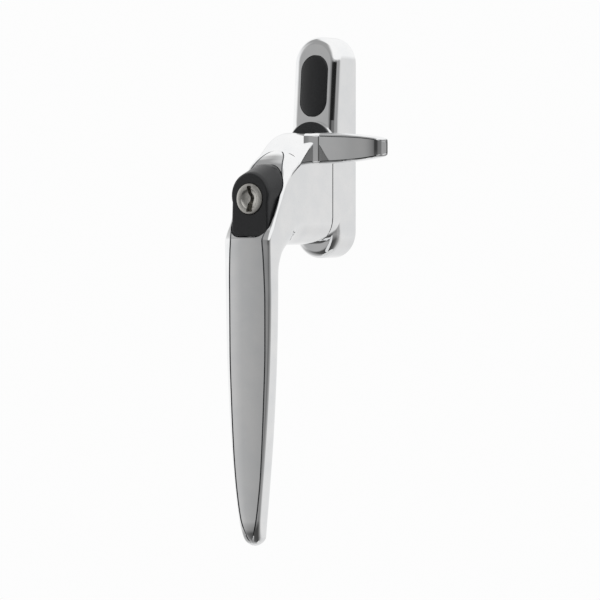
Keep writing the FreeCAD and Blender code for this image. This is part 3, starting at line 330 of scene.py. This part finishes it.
# ---------------------------------------------------------------------------- handle
# One zinc casting: a boss on the turret, a neck that sweeps forward, a long tapering grip with a
# lined panel down its front, and the nose that pulls the sash in. Polished all over and plated.
HALF_WIDTH = 8.0
UNDERSIDE = -28.8  # height of the boss's lower end
GRIP_BACK = 39.2
UNDERSIDE_ROUND = 8.0
TAPER_START = -40.0
TIP_HEIGHT, TIP_RADIUS = -115.8, 3.2
TIP_SMOOTH = -112.5  # the tip is a plain dome below this
TIP_BACK_ROUND = 2.2
GROOVE_WIDTH, GROOVE_DEPTH, GROOVE_TOP = 0.45, 0.16, -1.5
PANEL_CROWN = 0.035  # how far the panel's edge lies back, for each mm of half width
LEAST_RIM = 0.12  # of chrome outside the groove

# down the front: depth, height, the panel's half width, then the width and depth of the corner
# between front and flank, the slope beside the panel in degrees, and the back corner's size
FRONT = [
    (12.70, 4.40, 0.40, 1.8, 1.4, 0.0, 8.0),
    (16.00, 4.35, 0.40, 2.4, 1.4, 0.0, 8.0),
    (19.50, 3.90, 0.40, 4.0, 1.5, 0.0, 8.0),
    (23.00, 2.70, 0.40, 6.0, 2.0, 2.0, 8.0),
    (27.00, 0.55, 0.40, 7.0, 3.4, 6.0, 8.0),
    (29.90, -1.20, 0.45, 6.2, 4.4, 10.5, 7.4),
    (30.30, -1.48, 1.60, 5.8, 4.6, 11.5, 7.2),
    (31.00, -1.98, 2.60, 5.2, 4.8, 13.0, 7.0),
    (32.40, -3.12, 3.70, 4.2, 4.9, 16.0, 6.6),
    (34.30, -4.90, 4.60, 3.0, 4.9, 20.0, 6.0),
    (36.50, -8.50, 5.80, 1.8, 4.2, 24.0, 5.0),
    (38.40, -13.00, 6.60, 1.0, 3.0, 24.0, 4.2),
    (40.90, -18.00, 6.90, 0.6, 2.0, 20.0, 3.6),
    (43.50, -22.70, 6.30, 0.8, 1.4, 14.0, 3.2),
    (45.20, -25.30, 5.60, 0.9, 1.0, 12.0, 3.0),
    (45.87, -27.20, 5.30, 0.9, 0.9, 11.0, 2.8),
    (45.80, -30.50, 5.55, 0.8, 0.8, 11.0, 2.6),
    (45.60, -38.00, 5.85, 0.8, 0.8, 10.5, 2.6),
    (45.40, -44.00, 5.95, 0.8, 0.8, 10.5, 2.6),
    (45.30, -59.00, 5.90, 0.8, 0.8, 10.5, 2.6),
    (45.25, -73.00, 5.45, 0.8, 0.8, 10.5, 2.5),
    (45.15, -88.00, 4.70, 0.8, 0.8, 10.5, 2.3),
    (45.00, -96.00, 4.10, 0.8, 0.8, 10.5, 2.2),
    (44.90, -102.00, 3.40, 0.8, 0.9, 10.5, 2.0),
    (44.70, -108.00, 2.45, 0.9, 1.0, 10.5, 1.8),
    (44.35, -111.00, 1.60, 1.0, 1.2, 10.5, 1.6),
    (43.85, -113.00, 0.90, 1.0, 1.4, 10.0, 1.4),
    (43.10, -114.60, 0.40, 0.8, 1.2, 8.0, 1.2),
    (42.10, -115.50, 0.40, 0.5, 0.9, 4.0, 0.9),
    (41.50, -115.75, 0.40, 0.3, 0.7, 0.0, 0.7),
]


def smooth_curve(rows):
    """A function that reads every column of a table at any place along its first column.

    It runs smoothly through the rows and never swings past them.
    """
    table = np.array(rows, float)
    knots, values = table[:, 0], table[:, 1:]
    step = np.diff(knots)[:, None]
    rate = np.diff(values, axis=0) / step
    slope = np.zeros_like(values)
    slope[0], slope[-1] = rate[0], rate[-1]
    before, after = rate[:-1], rate[1:]
    total = before + after
    same_way = (before * after > 0) & (np.abs(total) > 1e-12)
    slope[1:-1] = np.where(same_way, 2 * before * after / np.where(same_way, total, 1), 0)

    def read(place):
        i = int(np.clip(np.searchsorted(knots, place) - 1, 0, len(step) - 1))
        h = step[i, 0]
        u = np.clip((place - knots[i]) / h, 0, 1)
        return ((1 + 2 * u) * (1 - u) ** 2 * values[i] + u * (1 - u) ** 2 * h * slope[i]
                + u * u * (3 - 2 * u) * values[i + 1] + u * u * (u - 1) * h * slope[i + 1])

    return read


travel = [0.0]
for (d0, z0, *_), (d1, z1, *_) in zip(FRONT, FRONT[1:]):
    travel.append(travel[-1] + math.hypot(d1 - d0, z1 - z0))
front_line = smooth_curve([(along,) + row for along, row in zip(travel, FRONT)])


def half_width(height):
    """Half the handle's width at a height: straight, then long arcs drawn in to the round tip."""
    tip_centre = TIP_HEIGHT + TIP_RADIUS
    drop = TAPER_START - tip_centre
    reach = (HALF_WIDTH**2 + drop**2 - TIP_RADIUS**2) / (2 * (HALF_WIDTH - TIP_RADIUS))
    below = TAPER_START - height
    if below <= 0:
        return HALF_WIDTH
    if height > tip_centre:
        return HALF_WIDTH - reach + math.sqrt(reach**2 - below**2)
    return math.sqrt(TIP_RADIUS**2 - (tip_centre - height) ** 2)


def back_point(depth, height):
    """The point of the handle's back that faces a point of its front."""
    corner_d, corner_z = GRIP_BACK - UNDERSIDE_ROUND, UNDERSIDE - UNDERSIDE_ROUND
    if depth < corner_d:
        return depth, UNDERSIDE
    turn = math.atan2(height - corner_z, depth - corner_d)
    if turn > 0:
        return corner_d + UNDERSIDE_ROUND * math.cos(turn), corner_z + UNDERSIDE_ROUND * math.sin(turn)
    lift = max(0.0, TIP_HEIGHT + TIP_BACK_ROUND - height)
    return GRIP_BACK + 0.45 * lift**1.5, height


def handle_half(width, thick, panel, corner_x, corner_s, slope, back):
    """Half a section of the handle as (x, s) points, s running from its back to its front."""
    fade = min(1.0, max(0.0, (panel - 0.4) / 1.5))  # the groove runs out where the panel narrows
    groove, sunk = GROOVE_WIDTH * max(fade, 0.15), GROOVE_DEPTH * fade
    panel = min(panel, width - groove - LEAST_RIM)
    corner_x = min(corner_x, width - panel - groove)
    corner_s = min(corner_s, 0.45 * thick)
    back_x, back_s = min(back, 0.92 * width), min(back, 0.46 * thick)
    # the back and its corner
    points = [(0.0, 0.0), (0.5 * (width - back_x), 0.0)]
    for i in range(9):
        t = math.pi / 2 * i / 8
        points.append((width - back_x + back_x * math.sin(t), back_s * (1 - math.cos(t))))
    # the flank, then the corner between it and the slope beside the panel
    edge = thick - PANEL_CROWN * panel
    fall = math.tan(math.radians(slope))
    start = math.atan2(fall * corner_x, corner_s)
    start_x = width - corner_x + corner_x * math.sin(start)
    start_s = edge - fall * (start_x - panel - groove)
    middle_s = start_s - corner_s * math.cos(start)
    points += [(width, back_s + (middle_s - back_s) * f) for f in (0.25, 0.5, 0.75)]
    for i in range(11):
        t = math.pi / 2 + (start - math.pi / 2) * i / 10
        points.append((width - corner_x + corner_x * math.sin(t), middle_s + corner_s * math.cos(t)))
    # the slope, the groove and the crowned panel
    points.append((0.5 * (start_x + panel + groove), 0.5 * (start_s + edge)))
    points.append((panel + groove, edge))
    points.append((panel + 0.6 * groove, edge - sunk))
    points.append((panel, edge))
    points += [(panel * f, thick - PANEL_CROWN * panel * f * f) for f in (0.8, 0.6, 0.4, 0.2)]
    points.append((0.0, thick))
    return points


spans = [(0, 5, 30), (5, 8, 24), (8, 15, 44), (15, 24, 60), (24, 29, 36)]  # first row, last row, rings
stations = [along for first, last, count in spans
            for along in np.linspace(travel[first], travel[last], count)[:-1]] + [travel[-1]]
rings = []
for along in stations:
    depth, height, panel, corner_x, corner_s, slope, back = front_line(along)
    back_d, back_z = back_point(depth, height)
    thick = math.hypot(depth - back_d, height - back_z)
    lean_d, lean_z = (depth - back_d) / thick, (height - back_z) / thick
    half = handle_half(half_width(height), thick, panel, corner_x, corner_s, slope, back)
    section = half + [(-x, s) for x, s in half[-2:0:-1]]
    rings.append([(x, back_d + s * lean_d, back_z + s * lean_z) for x, s in section])
half_count = len(half)
groove_strips = {half_count - 8, half_count - 7}
groove_strips |= {2 * (half_count - 1) - 1 - strip for strip in groove_strips}


def handle_strip(i, j):
    """Groove strips down the grip take the dark grey of painted shade; everything else is bright."""
    return 1 if i in groove_strips and rings[j][half_count - 1][2] < GROOVE_TOP else 0


handle = skin("handle_body", rings, handle_strip, (chrome, groove_painted_shade), cap_start=False)

# in its back face: the spindle, the stop pin and the lock bolt's bore
HOLE_SIDES, BOSS_HOLE_DEPTH = 32, 3.5
SPINDLE_SHANK, LOCK_HEIGHT, BOLT_BORE = 3.0, -15.35, 2.5
STOP_PIN_DROP, STOP_PIN_RADIUS = -6.4, 0.8


def circle(count):
    """Evenly spaced angles all the way round."""
    return [2 * math.pi * i / count for i in range(count)]


def pierce(piece, depth, holes, floor):
    """Close the open ring at a depth with a flat face that has round blind holes, as (x, z, radius)."""
    made = bmesh.new()
    made.from_mesh(piece.data)
    loops = [e for e in made.edges if e.is_boundary]
    for x, z, radius in holes:
        around_hole = [(x + radius * math.cos(t), z + radius * math.sin(t)) for t in circle(HOLE_SIDES)]
        outer = [made.verts.new((px * MM, -depth * MM, pz * MM)) for px, pz in around_hole]
        inner = [made.verts.new((v.co.x, -(depth + floor) * MM, v.co.z)) for v in outer]
        for i in range(HOLE_SIDES):
            k = (i + 1) % HOLE_SIDES
            loops.append(made.edges.new((outer[i], outer[k])))
            made.faces.new((outer[i], outer[k], inner[k], inner[i])).smooth = True
        made.faces.new(inner)
    bmesh.ops.triangle_fill(made, edges=loops, use_beauty=True)
    bmesh.ops.recalc_face_normals(made, faces=made.faces)
    made.to_mesh(piece.data)
    made.free()


boss_holes = [(0, 0, SPINDLE_SHANK), (0, STOP_PIN_DROP, STOP_PIN_RADIUS), (0, LOCK_HEIGHT, BOLT_BORE)]
pierce(handle, FRONT[0][0], boss_holes, BOSS_HOLE_DEPTH)
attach(handle, "handle")
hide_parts("handle_casting")

# ---------------------------------------------------------------------------- nose
# A tapering bar cast on the handle's right side, in chromed zinc like it, flat behind where it bears
# on the striker, with a lined panel on its front that is crowned towards the tip.
NOSE_BACK = 17.8
NOSE_ROUND = 0.42  # share of the nose's thickness that the rounds over its front edges take
NOSE_ROUND_STOP = 0.94  # share of that height at which the rounds end, just below the front
NOSE_RIM = 0.25  # between those rounds and the panel
NOSE_BACK_EDGE = [(0.0, 0.35), (0.10, 0.10), (0.35, 0.0)]  # forward from the back, in from the side
NOSE_GROOVE = [(0.05, 0.2), (0.18, 0.1), (0.02, 0.0)]  # below the front, out from the panel's edge
NOSE_GROOVE_REACH = (9.2, 28.0)
# outwards from the handle: reach, front depth, top and bottom, top and bottom of its panel
NOSE = [
    (6.0, 25.0, 4.05, -5.20, 2.90, -4.35),
    (8.0, 22.85, 4.05, -5.20, 2.90, -4.35),
    (8.8, 21.62, 4.04, -5.18, 2.90, -4.32),
    (9.1, 21.52, 4.03, -5.18, 2.88, -4.30),
    (10.5, 21.50, 4.00, -5.15, 2.85, -4.20),
    (14.0, 21.44, 3.92, -5.00, 2.70, -4.05),
    (18.0, 21.30, 3.70, -4.70, 2.55, -3.85),
    (22.0, 21.02, 3.35, -4.30, 2.30, -3.55),
    (25.5, 20.72, 2.95, -3.85, 1.95, -3.15),
    (26.5, 20.56, 2.82, -3.70, 1.82, -3.00),
    (27.4, 20.40, 2.70, -3.57, 1.70, -2.88),
    (28.0, 20.24, 2.60, -3.45, 1.60, -2.75),
    (28.6, 19.98, 2.50, -3.34, 1.48, -2.64),
    (29.1, 19.62, 2.40, -3.24, 1.36, -2.52),
    (29.5, 19.22, 2.30, -3.14, 1.24, -2.40),
    (29.85, 18.72, 2.18, -3.02, 1.12, -2.25),
    (30.15, 18.25, 2.02, -2.86, 0.98, -2.08),
    (30.4, 17.95, 1.80, -2.60, 0.80, -1.90),
]
nose_line = smooth_curve(NOSE)


def nose_section(reach):
    """Closed section across the nose, from its lower back edge round the front to its upper back edge."""
    front, top, bottom, panel_top, panel_bottom = nose_line(reach)
    fall = NOSE_ROUND * (front - NOSE_BACK)
    round_over = [(front - fall + NOSE_ROUND_STOP * fall * math.sin(t), 1 - math.cos(t))
                  for t in (math.pi / 2 * i / 7 for i in range(8))]
    points = [(NOSE_BACK + forward, bottom + inward) for forward, inward in NOSE_BACK_EDGE]
    points += [(d, bottom + (panel_bottom - bottom - NOSE_RIM) * share) for d, share in round_over]
    points += [(front - sunk, panel_bottom - out) for sunk, out in NOSE_GROOVE]
    points += [(front, panel_bottom + (panel_top - panel_bottom) * f) for f in (0.2, 0.4, 0.6, 0.8)]
    points += [(front - sunk, panel_top + out) for sunk, out in NOSE_GROOVE[::-1]]
    points += [(d, top - (top - panel_top - NOSE_RIM) * share) for d, share in round_over[::-1]]
    points += [(NOSE_BACK + forward, top - inward) for forward, inward in NOSE_BACK_EDGE[::-1]]
    return [(reach, d, z) for d, z in points]


reaches = [6.0, 7.0, 8.0, 8.4, 8.75, 8.8, 8.95, 9.1, 9.15, 9.3, 9.7] + list(np.linspace(10.5, 28.0, 26))
reaches += list(np.linspace(28.3, 29.7, 8)) + [29.85, 30.0, 30.15, 30.28, 30.36, 30.4]
nose_rings = [nose_section(reach) for reach in reaches]
nose_grooves = {11, 12, 19, 20}


def nose_strip(i, j):
    """Only the groove strips beside the panel take the dark grey of painted shade."""
    return 1 if i in nose_grooves and NOSE_GROOVE_REACH[0] < reaches[j] < NOSE_GROOVE_REACH[1] else 0


nose = skin("handle_nose", nose_rings, nose_strip, (chrome, groove_painted_shade))
crease(nose, 16)
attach(nose, "handle")
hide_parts("handle_casting")

# ---------------------------------------------------------------------------- lock surround
# A surround moulded in black ABS and pushed into a pocket in the neck: an egg outline whose sides
# draw in to a flat face round the key plug, with softened edges.
POCKET_RIM = (7.2, -12.5, 6.8, 4.2)  # head radius and height, the foot's half width and corners
SURROUND_FACE = (6.5, -14.4, 6.4, 2.4)
SURROUND_BOTTOM = -26.3
SURROUND_LEAN = math.radians(18)
POCKET_FLOOR, TAPER_DEPTH, FACE_DEPTH = 34.0, 37.0, 44.0
POCKET_GAP = 0.18
POCKET_MOUTH = 50.0  # clear of the handle's front
PLUG_RADIUS, PLUG_CLEARANCE, PLUG_BORE_FLOOR = 4.45, 0.1, 36.0
MOUTH_SIDES, MOUTH_CHAMFER = 48, 0.15


def egg(radius, height, foot, corner, bottom, points=28):
    """The surround's outline as (x, z) points: round head, straight sides, foot with round corners."""
    outline = []
    for i in range(points + 1):
        t = -SURROUND_LEAN + (math.pi + 2 * SURROUND_LEAN) * i / points
        outline.append((radius * math.cos(t), height + radius * math.sin(t)))
    shoulder_x, shoulder_z = outline[-1]
    sides = [(shoulder_x + (-foot - shoulder_x) * f, shoulder_z + (bottom + corner - shoulder_z) * f)
             for f in (0.33, 0.66)]
    foot_corner = [(-foot + corner * (1 - math.cos(t)), bottom + corner * (1 - math.sin(t)))
                   for t in (math.pi / 2 * i / 8 for i in range(9))]
    left = sides + foot_corner
    return outline + left + [(-x, z) for x, z in left[::-1]]


def grown(outline, margin):
    """An outline pushed outwards by a margin."""
    grown_points = []
    before, after = outline[-1:] + outline[:-1], outline[1:] + outline[:1]
    for (x0, z0), (x1, z1), (x2, z2) in zip(before, outline, after):
        run = math.hypot(x2 - x0, z2 - z0)
        grown_points.append((x1 + margin * (z2 - z0) / run, z1 - margin * (x2 - x0) / run))
    return grown_points


def cut_away(piece, cutter):
    """Take a closed mesh out of a piece, and drop the cutter."""
    modifier = piece.modifiers.new("pocket", "BOOLEAN")
    modifier.operation = "DIFFERENCE"
    modifier.object = cutter
    modifier.solver = "EXACT"
    bpy.context.view_layer.update()
    old = piece.data
    piece.data = bpy.data.meshes.new_from_object(piece.evaluated_get(bpy.context.evaluated_depsgraph_get()))
    piece.modifiers.clear()
    bpy.data.meshes.remove(old)
    bpy.data.objects.remove(cutter)


pocket_outline = grown(egg(*POCKET_RIM, SURROUND_BOTTOM), POCKET_GAP)
cut_away(handle, skin("pocket_cutter", [[(x, d, z) for x, z in pocket_outline]
                                        for d in (POCKET_FLOOR, POCKET_MOUTH)]))
crease(handle, 14, TIP_SMOOTH)
surround_rings = []
for depth in (POCKET_FLOOR, TAPER_DEPTH):
    surround_rings.append([(x, depth, z) for x, z in egg(*POCKET_RIM, SURROUND_BOTTOM)])
for f in np.linspace(0.1, 0.93, 8):
    outline = egg(*(a + (b - a) * f for a, b in zip(POCKET_RIM, SURROUND_FACE)), SURROUND_BOTTOM)
    surround_rings.append([(x, TAPER_DEPTH + (FACE_DEPTH - TAPER_DEPTH) * f, z) for x, z in outline])
# the softened edge of the face: below the face, in from its outline
for drop, inset in ((0.28, 0.06), (0.12, 0.18), (0.03, 0.36), (0.0, 0.6)):
    radius, height, foot, corner = SURROUND_FACE
    outline = egg(radius - inset, height, foot - inset, corner - inset, SURROUND_BOTTOM + inset)
    surround_rings.append([(x, FACE_DEPTH - drop, z) for x, z in outline])
surround = skin("lock_surround", surround_rings, materials=(black_moulding,), cap_end=False)


def open_mouth(piece, depth, radius, height, back):
    """Fill the open end of a piece with a flat face round a bore that runs back to a depth."""
    made = bmesh.new()
    made.from_mesh(piece.data)
    loops = [e for e in made.edges if e.is_boundary]
    rims = []
    for r, d in ((radius + MOUTH_CHAMFER, depth), (radius, depth - MOUTH_CHAMFER), (radius, back)):
        rims.append([made.verts.new((r * math.cos(t) * MM, -d * MM, (height + r * math.sin(t)) * MM))
                     for t in circle(MOUTH_SIDES)])
    for near_rim, far_rim in zip(rims, rims[1:]):
        for i in range(MOUTH_SIDES):
            k = (i + 1) % MOUTH_SIDES
            made.faces.new((near_rim[i], near_rim[k], far_rim[k], far_rim[i])).smooth = True
    for i in range(MOUTH_SIDES):
        loops.append(made.edges.get((rims[0][i], rims[0][(i + 1) % MOUTH_SIDES])))
    bmesh.ops.triangle_fill(made, edges=loops, use_beauty=True)
    bmesh.ops.recalc_face_normals(made, faces=made.faces)
    made.to_mesh(piece.data)
    made.free()


open_mouth(surround, FACE_DEPTH, PLUG_RADIUS + PLUG_CLEARANCE, LOCK_HEIGHT, PLUG_BORE_FLOOR)
crease(surround, 40)
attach(surround, "handle")
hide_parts("lock_housing")
finish_node("lock_barrel", bright_steel)

# ---------------------------------------------------------------------------- key plug and lock
# The turning plug is brass, turned on a lathe and nickel plated to a satin face. Stamped brass wafers
# cross it, and the zinc-plated cam, screw, bolt and bolt guide work behind it.
satin_nickel = metal("satin_nickel_plate", "#D2D0CB", "#BDBBB6", 0.4, (0.28, 0.40), bump=0.004)
PLUG_SIDES = 64
# radius and depth, from the back of the head round its rim and in to the middle of the dish
plug_lathe = [(PLUG_RADIUS, 36.5), (PLUG_RADIUS, 44.05), (4.38, 44.22), (4.22, 44.30), (3.05, 44.30),
              (2.9, 44.26), (2.7, 44.05), (2.2, 43.86), (1.4, 43.74), (0.6, 43.70)]
plug_rings = [[(r * math.cos(t), d, LOCK_HEIGHT + r * math.sin(t)) for t in circle(PLUG_SIDES)]
              for r, d in plug_lathe]
plug = skin("key_plug_face", plug_rings, materials=(satin_nickel,))
# the keyway is cut as a crooked slot, so that only the right blank goes in; it stops short of the wafers
KEYWAY_FLOOR, KEYWAY_MOUTH = 40.75, 50.0
KEYWAY = [(-0.55, 3.75), (0.55, 3.75), (0.75, 3.3), (0.6, 2.6), (0.55, 1.9), (1.35, 0.9), (1.5, 0.1),
          (1.2, -0.8), (0.95, -1.5), (1.1, -3.7), (-0.95, -3.7), (-0.75, -1.5), (0.0, -0.7), (0.25, 0.0),
          (0.05, 0.8), (-0.7, 1.8), (-0.6, 2.6), (-0.8, 3.3)]
cut_away(plug, skin("keyway_cutter", [[(x, d, LOCK_HEIGHT + z) for x, z in KEYWAY]
                                      for d in (KEYWAY_FLOOR, KEYWAY_MOUTH)], materials=(black_moulding,)))
crease(plug, 30)
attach(plug, "plug")
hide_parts("key_plug")

wafer_brass = metal("stamped_brass", "#D8B468", "#B8904A", 0.5, (0.25, 0.4))
finish_node("tumbler_wafers", wafer_brass)

bright_zinc = metal("bright_zinc_plate", "#C9CDD2", "#AEB4BC", 0.5, (0.22, 0.36))
for name in ("lock_cam", "cam_screw", "lock_bolt", "bolt_guide"):
    finish_node(name, bright_zinc)

# ---------------------------------------------------------------------------- floor
# A disc of pale paper well below the fastener, which hangs clear of it as it does on a window.
FLOOR_RADIUS, FLOOR_HEIGHT = 0.30, -0.80  # in metres

paper, tree, surface = material("pale_paper")
mottle(tree, surface, "#F2F2F1", "#ECECEB", 3.0, (0.85, 0.95))
seen = add_node(tree, "ShaderNodeLightPath")
white = add_node(tree, "ShaderNodeEmission", {"Color": SEEN_WHITE, "Strength": 1.0})
paper_mix = add_node(tree, "ShaderNodeMixShader", {
    0: seen.outputs["Is Camera Ray"], 1: surface.outputs[0], 2: white.outputs[0]})
tree.links.new(paper_mix.outputs[0], tree.nodes["Material Output"].inputs["Surface"])
floor_mesh = bpy.data.meshes.new("paper_floor")
made = bmesh.new()
bmesh.ops.create_circle(made, cap_ends=True, segments=96, radius=FLOOR_RADIUS,
                        matrix=Matrix.Translation((0, 0, FLOOR_HEIGHT)))
made.to_mesh(floor_mesh)
made.free()
floor_mesh.materials.append(paper)
floor = bpy.data.objects.new("paper_floor", floor_mesh)
scene.collection.objects.link(floor)
